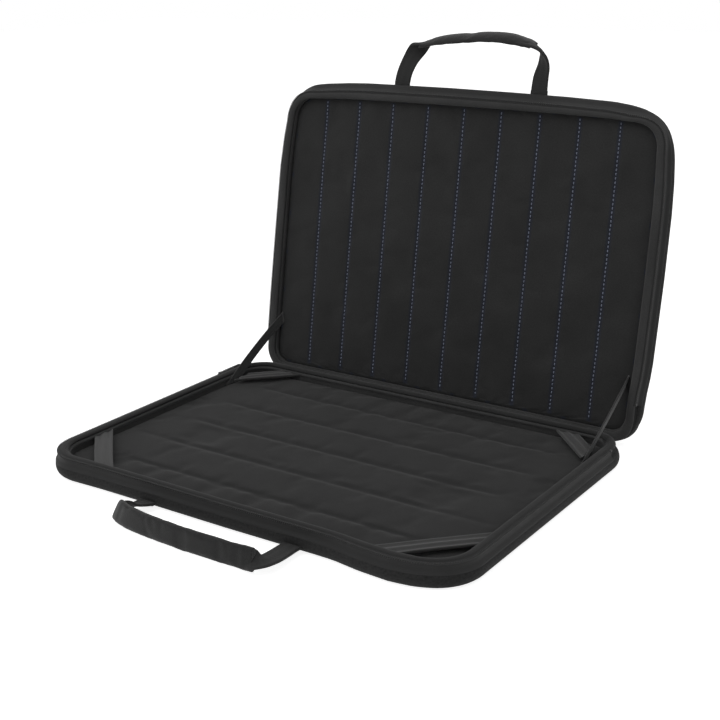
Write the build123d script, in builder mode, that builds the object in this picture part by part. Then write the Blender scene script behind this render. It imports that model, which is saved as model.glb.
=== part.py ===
"""Moulded hard case for a laptop: two padded half shells on a fabric spine, closed by a zip on three sides.

The case stands open: the base lies flat and the lid stands up behind it, held by two side stays.
Both halves are the same moulding. Each is drawn in its own frame, whose origin is on the outer face,
with local +X along the spine, local +Y towards the spine and local +Z from the outer face to the rim.
The base's frame is the frame of the whole part. Lengths are in millimetres and angles in degrees.
"""

import os
from math import cos, radians, sin, sqrt

from build123d import *

os.makedirs("parts", exist_ok=True)

# --- Driving dimensions -------------------------------------------------------------------------

# Half shell: a rim wall with a padded bulge below it
half_height = 20.0            # outer face to closing plane
rim_width = 364.6             # over the rim wall, along the spine
rim_depth = 258.6             # over the rim wall, across the spine
rim_front_r = 35.0            # corner radii of the rim wall
rim_spine_r = 27.0
rim_wall = 6.0
bulge_out = 3.7               # how far the bulge stands out of the rim wall
bulge_out_spine = 1.7
bulge_height = 12.5
bulge_front_r = 45.0          # corner radii of the bulge, in plan
bulge_spine_r = 38.0
bulge_bottom_r = 8.0          # edge roundings of the bulge
bulge_top_r = 2.0
floor_thickness = 4.0

# Fabric hinge along the spine
open_angle = 100.0
hinge_height = 6.9            # fold line above the base's outer face
strip_length = 300.0
strip_thickness = 1.2
strip_gap = 0.3
strip_drop_room = 0.5         # under the fold line, for the strip as it turns outwards

# Linings and padding
binding_top = 3.0             # padded binding over the top of the rim wall
binding_flange = 0.6
binding_reach = 1.0           # how far the binding runs down inside
binding_lip_r = 2.5
closing_gap = 0.3
lining_thickness = 1.2
pad_gap = 0.4
pad_edge_r = 1.5
base_pad_top = 10.0           # above the base's outer face
lid_pad_top = 12.6            # above the lid's outer face
base_quilt_pitch = 43.9       # lines along the spine
base_quilt_count = 5
lid_quilt_pitch = 34.8        # lines across the spine
lid_quilt_count = 9
quilt_width = 3.0
quilt_depth = 0.8
quilt_margin = 5.0

# Zip on the three open sides
tape_thickness = 0.8
tape_low = 13.4
coil_width = 1.4
coil_height = 1.9
coil_below_closing = 0.5
zip_end = 98.0                # where the tapes stop, towards the spine
stop_length = 2.0
stop_proud = 0.3

# Zip slider and its pull tab
slider_rest = 86.0
slider_travel = 166.0
slider_length = 13.0
slider_height = 6.2
slider_drop = 0.5             # top of the body below the top of the coil
slider_back = 1.85            # body outside the coil
slider_clearance = 0.15
ear_drop = 0.8                # middle of the ears below the middle of the body
ear_thickness = 1.0
ear_r = 2.1
post_r = 0.8
post_standoff = 2.3
eye_r = 2.0
eye_height = 2.0
eye_clearance = 0.1
tab_length = 24.0
tab_width = 5.0
tab_thickness = 1.6
tab_neck = 3.5

# Elastic corner bands in the base
band_width = 14.0
band_thickness = 1.2
band_height = 14.5            # underside above the base's outer face
band_reach_front = 52.0       # from the corner of the linings to the band's centre line
band_reach_spine = 40.0

# Stays that stop the lid
stay_inset = 7.1              # from the wall lining to the middle of the stay
stay_width = 8.0
stay_thickness = 1.2
stay_base_y = 83.0
stay_base_z = 10.5
stay_lid_v = 81.5             # from the middle of the lid towards the spine
stay_lid_h = 13.5             # above the lid's outer face

# Carrying handles
webbing_width = 15.0
webbing_thickness = 2.0
leg_spacing = 131.0           # between the centres of the two legs
root_height = 5.2             # above the outer face
root_gap = 0.3
anchor_depth = 8.0
handle_tilt = 7.0             # rise of the legs towards the rim
lower_handle_reach = 32.5     # fold line to the middle of the grip
lower_handle_arch = 2.5
upper_handle_reach = 42.0
upper_handle_arch = 6.0
handle_bend_r = 12.0
twist_steps = 6
grip_length = 104.0
grip_width = 16.4
grip_thickness = 5.0
grip_clearance = 0.1

# --- Derived sizes ------------------------------------------------------------------------------

rim_x = rim_width / 2
rim_y = rim_depth / 2
wall_top = half_height - closing_gap / 2 - binding_top
binding_low = wall_top - binding_reach
lining_face = rim_wall + lining_thickness                 # inside of the wall lining, from the rim's outside
lining_x = rim_x - lining_face
lining_y = rim_y - lining_face
front_face = rim_y + bulge_out
coil_top = half_height - coil_below_closing
coil_low = coil_top - coil_height
hinge_y = rim_y + strip_gap + strip_thickness / 2
spine_seat = hinge_height - strip_thickness / 2 - strip_drop_room
stay_x = lining_x - stay_inset
leg_x = leg_spacing / 2
root_offset = webbing_thickness / 2 + root_gap

# --- Frames -------------------------------------------------------------------------------------

base_frame = Plane.XY
closed_lid_frame = Plane(origin=(0, 0, 2 * half_height), x_dir=(-1, 0, 0), z_dir=(0, 0, -1))
fold = Pos(0, hinge_y, hinge_height) * Rot(-open_angle, 0, 0) * Pos(0, -hinge_y, -hinge_height)
lid_frame = Plane(fold * closed_lid_frame.location)


def inside(frame, local_plane):
    """The global plane of a plane given in a frame's own coordinates."""
    return Plane(frame.location * local_plane.location)


def up_axis(frame):
    return Axis(frame.origin, frame.z_dir)


# --- Outlines that the pieces of a half share ---------------------------------------------------


def corner_rounded(plane, half_width, front, spine, front_r, spine_r):
    """Rectangle from y = -front to y = spine, with its own radius at each end."""
    with BuildSketch(plane) as outline:
        with Locations((0, (spine - front) / 2)):
            Rectangle(2 * half_width, front + spine)
        fillet(outline.vertices().group_by(Axis.Y)[0], front_r)
        fillet(outline.vertices().group_by(Axis.Y)[-1], spine_r)
    return outline.sketch


def rim_outline(frame, height, out):
    """The rim wall's outline at a height, moved outwards by out."""
    return corner_rounded(
        frame.offset(height), rim_x + out, rim_y + out, rim_y + out, rim_front_r + out, rim_spine_r + out
    )


def bulge_outline(frame):
    return corner_rounded(
        frame, rim_x + bulge_out, front_face, rim_y + bulge_out_spine, bulge_front_r, bulge_spine_r
    )


def rim_ring(frame, low, high, inner, outer):
    """A band that follows the rim all round, between two distances out of the rim wall."""
    with BuildPart() as ring:
        extrude(rim_outline(frame, low, outer), amount=high - low)
        extrude(rim_outline(frame, low, inner), amount=high - low, mode=Mode.SUBTRACT)
    return ring.part


def spine_recess(frame):
    """Room for the spine strip, outside the rim wall."""
    with BuildPart() as recess:
        with BuildSketch(frame.offset(spine_seat)):
            with Locations((0, rim_y + bulge_out)):
                Rectangle(strip_length + 2 * strip_gap, 2 * bulge_out)
        extrude(amount=half_height)
    return recess.part


def handle_anchors(frame):
    """Ends of a handle's strap, held in slots of the shell."""
    front = Plane((0, -front_face, root_height), x_dir=(1, 0, 0), z_dir=(0, 1, 0))
    with BuildPart() as anchors:
        with BuildSketch(inside(frame, front)):
            with GridLocations(leg_spacing, 0, 2, 1):
                Rectangle(webbing_width, webbing_thickness)
        extrude(amount=anchor_depth)
    return anchors.part


# --- The moulded half ---------------------------------------------------------------------------


def moulded_shell(frame):
    """Outer shell: padded bulge, rim wall, floor, seat for the spine strip and slots for the handle."""
    with BuildPart() as shell:
        extrude(bulge_outline(frame), amount=bulge_height)
        fillet(shell.faces().sort_by(up_axis(frame))[0].edges(), bulge_bottom_r)
        fillet(shell.faces().sort_by(up_axis(frame))[-1].edges(), bulge_top_r)
        wall_root = bulge_height - bulge_top_r
        extrude(rim_outline(frame, wall_root, 0), amount=wall_top - wall_root)
        extrude(rim_outline(frame, floor_thickness, -rim_wall), amount=half_height, mode=Mode.SUBTRACT)
        add(spine_recess(frame), mode=Mode.SUBTRACT)
        add(handle_anchors(frame), mode=Mode.SUBTRACT)
    return shell.part


def wall_lining(frame):
    return rim_ring(frame, floor_thickness, wall_top, -lining_face, -rim_wall)


def rim_binding(frame):
    """Padded edge over the top of the wall and its lining, and a short way down inside."""
    top = wall_top + binding_top
    with BuildPart() as binding:
        add(rim_ring(frame, binding_low, top, -lining_face - binding_flange, 0))
        fillet(binding.faces().sort_by(up_axis(frame))[-1].edges(), binding_lip_r)
        add(rim_ring(frame, binding_low, wall_top, -lining_face, bulge_out), mode=Mode.SUBTRACT)
    return binding.part


def quilted_pad(frame, top, count, pitch, along_spine):
    """Floor padding with sewn channels across it."""
    edge = -lining_face - pad_gap
    run = (lining_x if along_spine else lining_y) - pad_gap - quilt_margin
    arc_r = (quilt_depth**2 + (quilt_width / 2) ** 2) / (2 * quilt_depth)
    height = top + arc_r - quilt_depth
    if along_spine:
        start = Plane((-run, 0, height), x_dir=(0, 1, 0), z_dir=(1, 0, 0))
    else:
        start = Plane((0, -run, height), x_dir=(1, 0, 0), z_dir=(0, 1, 0))
    with BuildPart() as pad:
        extrude(rim_outline(frame, floor_thickness, edge), amount=top - floor_thickness)
        fillet(pad.faces().sort_by(up_axis(frame))[-1].edges(), pad_edge_r)
        with BuildSketch(inside(frame, start)):
            with GridLocations(pitch, 0, count, 1):
                Circle(arc_r)
        extrude(amount=2 * run, mode=Mode.SUBTRACT)
    return pad.part


# --- Zip ----------------------------------------------------------------------------------------


def zip_strip(frame, low, high, inner, outer, end):
    """A band on the three open sides, which stops at y = end."""
    with BuildPart() as strip:
        add(rim_ring(frame, low, high, inner, outer))
        with BuildSketch(frame.offset(low)):
            with Locations((0, end + rim_y)):
                Rectangle(2 * rim_width, 2 * rim_y)
        extrude(amount=high - low, mode=Mode.SUBTRACT)
    return strip.part


def zip_tape(frame):
    return zip_strip(frame, tape_low, coil_low, 0, tape_thickness, zip_end)


def zip_coil(frame):
    return zip_strip(frame, coil_low, coil_top, 0, coil_width, zip_end - stop_length)


def zip_stops(frame):
    """Clips on the two ends of the coil."""
    with BuildPart() as stops:
        with BuildSketch(frame.offset(coil_low)):
            with Locations((0, zip_end - stop_length / 2)):
                with GridLocations(2 * rim_x + coil_width + stop_proud, 0, 2, 1):
                    Rectangle(coil_width + stop_proud, stop_length)
        extrude(amount=coil_height)
    return stops.part


# The slider rides on the base's coil, on the left side. Its frame looks out of that side:
# local +X away from the spine, local +Y up and local +Z outwards, from the rim wall.
slider_middle = coil_top - slider_drop - slider_height / 2
slider_frame = Plane(origin=(-rim_x, slider_rest, slider_middle), x_dir=(0, -1, 0), z_dir=(-1, 0, 0))
slider_top = coil_width + slider_clearance + slider_back
post_out = slider_top + post_standoff


def ear_profile(plane, radius):
    """Round-ended lug from the slider's back to the post."""
    with BuildSketch(plane) as lug:
        with Locations((0, (slider_top + post_out) / 2)):
            Rectangle(2 * radius, post_standoff)
        with Locations((0, post_out)):
            Circle(radius)
    return lug.sketch


def zip_slider():
    """Body with a channel for the coil, and two ears that hold the pull tab's post."""
    ear_start = eye_clearance + eye_height / 2
    with BuildPart() as slider:
        inner_face = tape_thickness + slider_clearance
        with BuildSketch(slider_frame.offset(inner_face)):
            RectangleRounded(slider_length, slider_height, slider_height / 3)
        extrude(amount=slider_top - inner_face)
        channel_low = coil_low - slider_clearance - slider_middle
        with BuildSketch(slider_frame):
            with Locations((0, channel_low + slider_height / 2)):
                Rectangle(2 * slider_length, slider_height)
        extrude(amount=coil_width + slider_clearance, mode=Mode.SUBTRACT)
        for side in (-1, 1):
            start = side * (ear_start + (ear_thickness if side < 0 else 0))
            lug_plane = Plane((0, start - ear_drop, 0), x_dir=(1, 0, 0), z_dir=(0, -1, 0))
            extrude(ear_profile(inside(slider_frame, lug_plane), ear_r), amount=-ear_thickness)
        post_plane = Plane((0, -ear_start - ear_drop, post_out), z_dir=(0, 1, 0))
        with BuildSketch(inside(slider_frame, post_plane)):
            Circle(post_r)
        extrude(amount=2 * ear_start)
    return slider.part


def zip_pull():
    """Pull tab: an eye round the post, a neck and a flat tab with a hole."""
    eye_plane = Plane((0, -eye_height / 2 - ear_drop, post_out), x_dir=(1, 0, 0), z_dir=(0, 1, 0))
    tab_plane = Plane((0, -ear_drop, post_out - tab_thickness / 2))
    with BuildPart() as pull:
        with BuildSketch(inside(slider_frame, eye_plane)):
            Circle(eye_r)
            with Locations((-tab_neck / 2, 0)):
                Rectangle(tab_neck, tab_thickness)
        extrude(amount=eye_height)
        with BuildSketch(inside(slider_frame, tab_plane)):
            with Locations((-tab_neck - tab_length / 2, 0)):
                RectangleRounded(tab_length, tab_width, tab_width / 3)
            with Locations((-tab_length, 0)):
                Circle(tab_width / 4, mode=Mode.SUBTRACT)
        extrude(amount=tab_thickness)
        with BuildSketch(inside(slider_frame, eye_plane)):
            Circle(post_r + eye_clearance)
        extrude(amount=eye_height, mode=Mode.SUBTRACT)
    return pull.part


# --- Straps inside ------------------------------------------------------------------------------


def corner_band(side, end, reach):
    """Elastic band across one corner of the base. side is -1 or 1 in X, end is -1 or 1 in Y."""
    middle = (side * (lining_x - reach / 2), end * (lining_y - reach / 2))
    limit_x = stay_x - stay_thickness / 2 if end > 0 else lining_x
    with BuildPart() as band:
        with BuildSketch(base_frame.offset(band_height)):
            add(rim_outline(base_frame, 0, -lining_face))
            Rectangle(2 * limit_x, rim_depth, mode=Mode.INTERSECT)
            with Locations(middle):
                Rectangle(4 * reach, band_width, rotation=-45 * side * end, mode=Mode.INTERSECT)
        extrude(amount=band_thickness)
    return band.part


def stay(side):
    """Flat strap beside a side wall, from the base's padding to the lid's, taut when the lid is open."""
    low = Vector(0, stay_base_y, stay_base_z)
    high = lid_frame.from_local_coords((0, stay_lid_v, stay_lid_h))
    side_plane = Plane((side * stay_x - stay_thickness / 2, 0, 0), x_dir=(0, 1, 0), z_dir=(1, 0, 0))
    run = high - low
    angle = run.get_signed_angle(Vector(0, 1, 0), Vector(-1, 0, 0))
    middle = (low + high) * 0.5
    lid_face = side_plane.to_local_coords(lid_frame.offset(lid_pad_top).origin)
    with BuildPart() as strap:
        with BuildSketch(side_plane):
            with Locations((middle.Y, middle.Z)):
                Rectangle(run.length + 2 * stay_width, stay_width, rotation=angle)
            with Locations((0, base_pad_top + half_height * 5)):
                Rectangle(4 * rim_y, half_height * 10, mode=Mode.INTERSECT)
            with Locations((lid_face.X, lid_face.Y)):
                Rectangle(
                    4 * rim_y,
                    4 * rim_y,
                    rotation=180 - open_angle,
                    align=(Align.CENTER, Align.MIN),
                    mode=Mode.INTERSECT,
                )
        extrude(amount=stay_thickness)
    return strap.part


def spine_strip():
    """Fabric strip on the lid's spine wall. Its free edge is the fold line on the base's spine wall."""
    far_edge = 2 * half_height - hinge_height
    end_plane = Plane((-strip_length / 2, hinge_y, 0), x_dir=(0, 1, 0), z_dir=(1, 0, 0))
    with BuildPart() as strip:
        with BuildSketch(inside(lid_frame, end_plane)):
            with Locations((0, (hinge_height + far_edge) / 2)):
                Rectangle(strip_thickness, far_edge - hinge_height)
            with Locations((0, hinge_height), (0, far_edge)):
                Circle(strip_thickness / 2)
        extrude(amount=strip_length)
    return strip.part


# --- Carrying handles ---------------------------------------------------------------------------


def handle_frame(frame):
    """Frame on the fold line of a half's handle: local +Z along the legs, local +Y to the rim."""
    fold_line = Plane((0, -front_face - root_offset, root_height), x_dir=(1, 0, 0), z_dir=(0, -1, 0))
    return inside(frame, fold_line.rotated((-handle_tilt, 0, 0)))


def arch_out(reach, arch, x):
    """Distance of the grip's centre line from the fold line, at a distance x from the middle."""
    half_span = leg_x - handle_bend_r
    radius = (half_span**2 + arch**2) / (2 * arch)
    return reach - radius + sqrt(radius**2 - x**2)


def arch_path(root, reach, arch, half_span):
    """Line of the grip, seen along the case's thickness."""
    end_out = arch_out(reach, arch, half_span)
    with BuildLine(root) as path:
        ThreePointArc((-half_span, 0, end_out), (0, 0, reach), (half_span, 0, end_out))
    return path.line


def arch_section(root, path):
    return Plane(origin=path @ 0, x_dir=root.y_dir, z_dir=path % 0)


def twisted_corner(root, straight):
    """Sections of the strap as it turns a quarter circle, and a quarter turn about itself."""
    sections = []
    for step in range(twist_steps + 1):
        share = step / twist_steps
        bend = radians(90 * share)
        twist = radians(90 * share**2 * (3 - 2 * share))
        centre = (-leg_x + handle_bend_r * (1 - cos(bend)), 0, straight + handle_bend_r * sin(bend))
        across = (cos(bend) * cos(twist), sin(twist), -sin(bend) * cos(twist))
        along = (sin(bend), 0, cos(bend))
        with BuildSketch(inside(root, Plane(centre, x_dir=across, z_dir=along))) as section:
            Rectangle(webbing_width, webbing_thickness)
        sections.append(section.sketch)
    return sections


def handle_webbing(frame, reach, arch):
    """One strap: a flat leg, a twisted corner, the part inside the grip, and back."""
    root = handle_frame(frame)
    half_span = leg_x - handle_bend_r
    straight = arch_out(reach, arch, half_span) - handle_bend_r
    middle = Plane(origin=root.origin, x_dir=root.y_dir, z_dir=root.x_dir)
    path = arch_path(root, reach, arch, half_span)
    with BuildPart() as webbing:
        with BuildSketch(root):
            with Locations((-leg_x, 0)):
                Rectangle(webbing_width, webbing_thickness)
        extrude(amount=straight)
        with BuildSketch(middle.offset(-leg_x - webbing_width / 2)):
            Circle(webbing_thickness / 2)
        extrude(amount=webbing_width)
        loft(twisted_corner(root, straight))
        mirror(about=middle)
        with BuildSketch(arch_section(root, path)) as section:
            Rectangle(webbing_width, webbing_thickness)
        sweep(section.sketch, path=path)
    return webbing.part


def handle_grip(frame, reach, arch):
    """Padded sleeve round the middle of the strap."""
    root = handle_frame(frame)
    path = arch_path(root, reach, arch, grip_length / 2)
    with BuildPart() as grip:
        with BuildSketch(arch_section(root, path)) as section:
            RectangleRounded(grip_width, grip_thickness, grip_thickness / 2.2)
            Rectangle(
                webbing_width + 2 * grip_clearance, webbing_thickness + 2 * grip_clearance, mode=Mode.SUBTRACT
            )
        sweep(section.sketch, path=path)
    return grip.part


# --- The pieces ---------------------------------------------------------------------------------

pieces = {}
for half, frame, handle, reach, arch in (
    ("base", base_frame, "lower_handle", lower_handle_reach, lower_handle_arch),
    ("lid", lid_frame, "upper_handle", upper_handle_reach, upper_handle_arch),
):
    pieces[f"{half}_shell"] = moulded_shell(frame)
    pieces[f"{half}_wall_lining"] = wall_lining(frame)
    pieces[f"{half}_rim_binding"] = rim_binding(frame)
    pieces[f"{half}_zip_tape"] = zip_tape(frame)
    pieces[f"{half}_zip_coil"] = zip_coil(frame)
    pieces[f"{half}_zip_stops"] = zip_stops(frame)
    pieces[f"{handle}_anchors"] = handle_anchors(frame)
    pieces[f"{handle}_webbing"] = handle_webbing(frame, reach, arch)
    pieces[f"{handle}_grip"] = handle_grip(frame, reach, arch)

pieces["base_floor_pad"] = quilted_pad(base_frame, base_pad_top, base_quilt_count, base_quilt_pitch, True)
pieces["lid_lining_pad"] = quilted_pad(lid_frame, lid_pad_top, lid_quilt_count, lid_quilt_pitch, False)
pieces["spine_strip"] = spine_strip()
pieces["zip_slider"] = zip_slider()
pieces["zip_pull"] = zip_pull()
for side_name, side in (("left", -1), ("right", 1)):
    pieces[f"{side_name}_stay"] = stay(side)
    pieces[f"corner_band_front_{side_name}"] = corner_band(side, -1, band_reach_front)
    pieces[f"corner_band_back_{side_name}"] = corner_band(side, 1, band_reach_spine)

for name, piece in pieces.items():
    piece.label = name
    export_step(piece, f"parts/{name}.step")
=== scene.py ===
"""Looks of the open laptop hard case: cloth, padding, webbing, zip and studio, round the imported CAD.

Pieces are drawn in millimetres in their half's frame, and turned into metres in the row frame when their
mesh is made. In a half's frame x runs along the spine, y towards it and z from the outer face to the rim.
"""

from math import cos, pi, radians, sin, sqrt

import bpy
import numpy as np
from mathutils import Matrix, Vector, noise


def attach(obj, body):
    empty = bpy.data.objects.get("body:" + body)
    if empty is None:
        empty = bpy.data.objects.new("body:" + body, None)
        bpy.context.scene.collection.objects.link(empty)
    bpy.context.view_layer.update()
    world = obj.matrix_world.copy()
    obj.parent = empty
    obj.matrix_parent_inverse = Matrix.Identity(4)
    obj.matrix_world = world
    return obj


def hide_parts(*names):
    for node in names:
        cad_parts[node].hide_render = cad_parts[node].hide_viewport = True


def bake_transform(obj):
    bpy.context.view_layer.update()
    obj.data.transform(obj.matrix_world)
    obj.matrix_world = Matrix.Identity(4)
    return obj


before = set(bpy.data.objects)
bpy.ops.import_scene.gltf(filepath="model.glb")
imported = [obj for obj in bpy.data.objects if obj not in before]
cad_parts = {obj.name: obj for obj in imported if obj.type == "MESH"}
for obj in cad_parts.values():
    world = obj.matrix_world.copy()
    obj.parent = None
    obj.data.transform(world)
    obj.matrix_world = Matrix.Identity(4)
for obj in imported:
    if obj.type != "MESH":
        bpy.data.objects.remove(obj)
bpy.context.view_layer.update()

# --- Sizes shared with the CAD, in millimetres ---

HALF_HEIGHT = 20.0
RIM_X, RIM_Y = 182.3, 129.3
BULGE_OUT, BULGE_OUT_SPINE = 3.7, 1.7
BULGE_BOTTOM_R = 8.0
BULGE_RISE = 5.6
FRONT_FACE = RIM_Y + BULGE_OUT
RIM_WALL = 6.0
WALL_TOP = 16.85
LINING_FACE = 7.2
LINING_X, LINING_Y = RIM_X - LINING_FACE, RIM_Y - LINING_FACE
PAD_EDGE = 7.6
TRAY_FLOOR = 4.0
PAD_BOTTOM = 4.05
STRIP_HALF = 150.0
ZIP_END = 98.0
COIL_END = ZIP_END - 2.5
COIL_HEIGHT = 18.55
FLOOR_QUILT_PITCH, LID_QUILT_PITCH = 43.9, 34.8
HINGE = Vector((0, 130.2, 6.9))
OPEN_ANGLE = 100.0

MM = Matrix.Scale(0.001, 4)
BASE = MM.copy()
LID = (
    MM
    @ Matrix.Translation(HINGE)
    @ Matrix.Rotation(radians(-OPEN_ANGLE), 4, "X")
    @ Matrix.Translation(-HINGE)
    @ Matrix.Translation((0, 0, 2 * HALF_HEIGHT))
    @ Matrix.Rotation(pi, 4, "Y")
)

MATRIX = {"base": BASE, "lid": LID}

# Corner radii of the rim and of the bulge, at the front and at the spine. The cloth is drawn a little
# tighter round most corners than the moulding under it.
CORNERS = {
    "base": {"rim": (33.0, 27.0), "bulge": (38.0, 30.0)},
    "lid": {"rim": (31.0, 22.0), "bulge": (42.0, 30.0)},
}

# How far the soft sides bow out of the moulding's outline, or sag into it where negative: at each y on
# the sides of negative and positive x, and at each x on the front.
BOW = {
    "base": {
        "minus": ([-133, -104, -88], [0.3, 0.3, 0]),
        "plus": ([-133, 131], [0, 0]),
        "front": (
            [-186, -165, -150, -120, -80, 0, 75, 90, 113, 137, 148, 160],
            [0, 0, -1, -2, -2, -1.5, -2.3, -2.2, 1, 2.2, 0.5, -1],
        ),
    },
    "lid": {
        "minus": (
            [-97, -84, -73, -50, 0, 66, 78, 90, 102, 115, 131],
            [-4, -2.7, -1.7, -0.7, -0.5, -1.5, -2.3, -3.6, -4.3, -3.5, 0],
        ),
        "plus": ([-98, -84, -57, 0, 60], [-5, -3, -0.8, 0.3, 1.2]),
        "front": ([-150, -130, -90, -40, 20, 100, 120, 150, 186], [-4, -1.5, 0, 1, 1.7, 1.7, 1.0, -1, 0]),
    },
}
# The lid's rim leans in at the front, by this much at the top of a rise that starts at a height
LID_RIM_LEAN, LEAN_START, LEAN_RISE = 4.5, 12.0, 7.0


def settle(half, points):
    """Moves points to where the soft sides of a half bow out, sag in, and lean in at the lid's front."""
    bow = BOW[half]
    x, y, z = points.T
    # Shares of the bow: all of it at the sides, and almost none over the middle
    beside = np.minimum(1.0, np.abs(x) / RIM_X) ** 8
    before = np.clip(-y / RIM_Y, 0, 1) ** 8
    out = np.where(x < 0, np.interp(y, *bow["minus"]), np.interp(y, *bow["plus"]))
    forward = np.interp(x, *bow["front"])
    if half == "lid":
        forward = forward - LID_RIM_LEAN * np.clip((z - LEAN_START) / LEAN_RISE, 0, 1)
    return np.column_stack([x + np.sign(x) * beside * out, y - before * forward, z])


def add_object(name, data):
    """New object in the scene."""
    made = bpy.data.objects.new(name, data)
    bpy.context.scene.collection.objects.link(made)
    return made


# --- Camera ---

FRAME_PIXELS = 720


def make_camera():
    """Camera at the photograph's viewing angle."""
    azimuth, elevation, roll = radians(34.83), radians(18.46), radians(-1.23)
    back = Vector((sin(azimuth) * cos(elevation), -cos(azimuth) * cos(elevation), sin(elevation)))
    right = Vector((cos(azimuth), sin(azimuth), 0))
    up = back.cross(right)
    rolled_right = cos(roll) * right + sin(roll) * up
    rolled_up = cos(roll) * up - sin(roll) * right
    data = bpy.data.cameras.new("camera")
    data.sensor_width = 36
    data.lens = 64.04
    data.shift_x = -9.38 / FRAME_PIXELS
    data.shift_y = -2.66 / FRAME_PIXELS
    data.clip_start = 0.05
    camera = add_object("camera", data)
    camera.matrix_world = Matrix((rolled_right, rolled_up, back)).transposed().to_4x4()
    camera.matrix_world.translation = (0.53915, -0.72591, 0.38933)
    bpy.context.scene.camera = camera


make_camera()

# --- Materials ---


def connect(node, inputs):
    """Sets a node's inputs to values, or joins them to the outputs of other nodes."""
    for socket, value in dict(inputs).items():
        if isinstance(value, bpy.types.NodeSocket):
            node.id_data.links.new(value, node.inputs[socket])
        else:
            node.inputs[socket].default_value = value
    return node


def add_node(tree, kind, inputs=(), **settings):
    """New node of a tree."""
    made = tree.nodes.new(kind)
    for key, value in settings.items():
        setattr(made, key, value)
    return connect(made, inputs)


class Shader:
    """A node material under construction. Its coordinates are the piece's UVs, in centimetres."""

    def __init__(self, name):
        self.material = bpy.data.materials.new(name)
        self.material.use_nodes = True
        self.tree = self.material.node_tree
        self.uv = self.node("ShaderNodeUVMap").outputs[0]

    def node(self, kind, inputs=(), **settings):
        return add_node(self.tree, kind, inputs, **settings)

    def math(self, operation, a, b=0.0, clamp=False):
        return self.node("ShaderNodeMath", {0: a, 1: b}, operation=operation, use_clamp=clamp).outputs[0]

    def noise(self, size, detail, roughness=0.5):
        """Noise whose lumps are about size millimetres across, from 0 to 1."""
        inputs = {"Vector": self.uv, "Scale": 10 / size, "Detail": detail, "Roughness": roughness}
        return self.node("ShaderNodeTexNoise", inputs).outputs["Fac"]

    def threads(self, pitch, direction):
        """Ribs that repeat every pitch millimetres, from 0 to 1."""
        inputs = {
            "Vector": self.uv, "Scale": pi / pitch, "Distortion": 0.6, "Detail": 1.0, "Detail Scale": 1.5,
        }
        return self.node("ShaderNodeTexWave", inputs, bands_direction=direction).outputs["Fac"]

    def weave(self, pitch):
        """Plain weave: over and under alternate both ways."""
        warp, weft = self.threads(pitch, "X"), self.threads(pitch, "Y")
        both = self.math("MULTIPLY", warp, weft)
        neither = self.math("MULTIPLY", self.math("SUBTRACT", 1.0, warp), self.math("SUBTRACT", 1.0, weft))
        return self.math("ADD", both, neither, clamp=True)

    def seams(self, pitch, width):
        """1 on seams that run pitch millimetres apart along the piece, 0 from width away."""
        split = self.node("ShaderNodeSeparateXYZ", {0: self.uv})
        away = self.math("PINGPONG", split.outputs[0], pitch / 20)
        return self.math("SUBTRACT", 1.0, self.math("DIVIDE", away, width / 10), clamp=True)

    def span(self, value, low, high):
        """Brings a value from 0 to 1 to the range from low to high."""
        inputs = {"Value": value, "To Min": low, "To Max": high}
        return self.node("ShaderNodeMapRange", inputs).outputs["Result"]

    def tones(self, value, dark, light, low=0.0, high=1.0):
        """Colour from dark, where the value is low, to light, where it is high."""
        made = self.node("ShaderNodeValToRGB", {"Fac": value})
        for element, place, colour in zip(made.color_ramp.elements, (low, high), (dark, light)):
            element.position = place
            element.color = (*colour, 1)
        return made.outputs["Color"]

    def multiply(self, a, b, share=1.0):
        """Colour a, taken by share of the way to a times b."""
        inputs = {"Factor": share, 6: a, 7: b}
        return self.node("ShaderNodeMix", inputs, data_type="RGBA", blend_type="MULTIPLY").outputs[2]

    def bump(self, height, distance, strength=1.0, under=None):
        """Raises the surface by up to distance millimetres, on top of another bump."""
        inputs = {"Strength": strength, "Distance": distance / 1000, "Height": height}
        if under:
            inputs["Normal"] = under
        return self.node("ShaderNodeBump", inputs).outputs["Normal"]

    def finish(self, **values):
        """Gives the shader its values, by the names of its sockets with _ for each space."""
        sockets = {name.replace("_", " "): value for name, value in values.items()}
        connect(self.tree.nodes["Principled BSDF"], sockets)
        return self.material


def grey(level):
    """Linear colour of an sRGB grey level."""
    share = level / 255
    linear = share / 12.92 if share < 0.04045 else ((share + 0.055) / 1.055) ** 2.4
    return (linear,) * 3


SHADES = ((0.8, 0.8, 0.8), (1.2, 1.2, 1.2))
STRONG_SHADES = ((0.55, 0.55, 0.55), (1.5, 1.5, 1.5))
RIB_SHADES = ((0.82, 0.82, 0.82), (1.18, 1.18, 1.18))
SEAM_TINT = (0.75, 0.85, 1.2)
SEAM_HALF = 3.2


def cloth(name, level, pitch, relief, spread=0.1, rough=0.9, sheen=0.12, grain=0.25, seams=0.0):
    """Woven cloth: threads pitch millimetres apart, raised by relief, mottled by spread and flecked by grain.

    Where seams is the pitch of sewn seams, the cloth beside them takes on the colour of their thread.
    """
    s = Shader(name)
    weave = s.weave(pitch)
    patches = s.noise(45.0, detail=3.0)
    specks = s.noise(0.9 + pitch, detail=1.0, roughness=0.7)
    colour = s.tones(weave, grey(level * (1 - spread)), grey(level * (1 + spread)), 0.1, 0.9)
    colour = s.multiply(colour, s.tones(patches, *SHADES, 0.3, 0.7))
    colour = s.multiply(colour, s.tones(specks, *STRONG_SHADES, 0.25, 0.75), grain)
    if seams:
        colour = s.multiply(colour, s.tones(s.seams(seams, SEAM_HALF), (1, 1, 1), SEAM_TINT, 0.0, 0.7))
    normal = s.bump(weave, relief)
    normal = s.bump(specks, relief * 1.5, 0.6, normal)
    return s.finish(
        Base_Color=colour, Normal=normal, Roughness=s.span(patches, rough - 0.05, min(1.0, rough + 0.06)),
        Specular_IOR_Level=0.22, Sheen_Weight=sheen, Sheen_Roughness=0.5,
    )


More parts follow.
